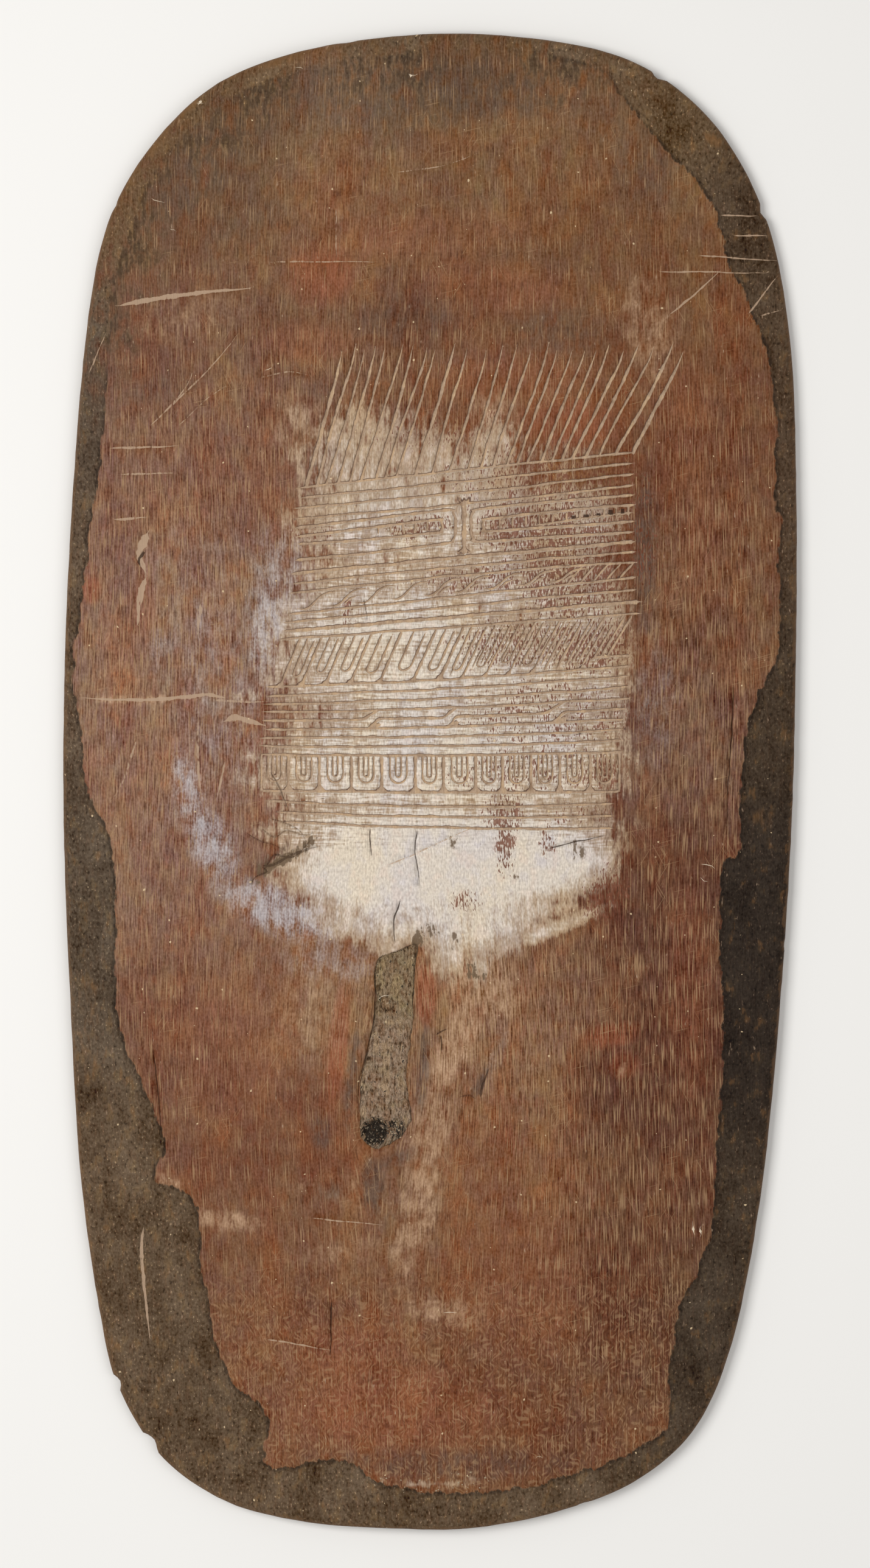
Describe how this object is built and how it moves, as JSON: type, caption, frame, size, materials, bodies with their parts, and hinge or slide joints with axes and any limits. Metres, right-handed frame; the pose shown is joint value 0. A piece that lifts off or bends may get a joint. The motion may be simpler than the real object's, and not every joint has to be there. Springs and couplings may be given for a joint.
{
  "type": "carved ritual shield",
  "caption": "Tall round-ended wooden shield board with a crowned front, a worn dark border, a knot scar and a panel of shallow carved lines.",
  "frame": {"origin": "centre of the board's outline, on the surface that the back rests on", "axes": "+X across the board, +Y along it towards its top, +Z out of the carved front"},
  "size_m": [0.5404, 1.0999, 0.022],
  "materials": {
    "aged_hardwood": "hand-smoothed red-brown tropical hardwood with handling gloss, a smoke-darkened border, lime rubbed into the carving and open pores along the board"
  },
  "bodies": {
    "root": {"shield_board": "aged_hardwood"}
  },
  "joints": []
}
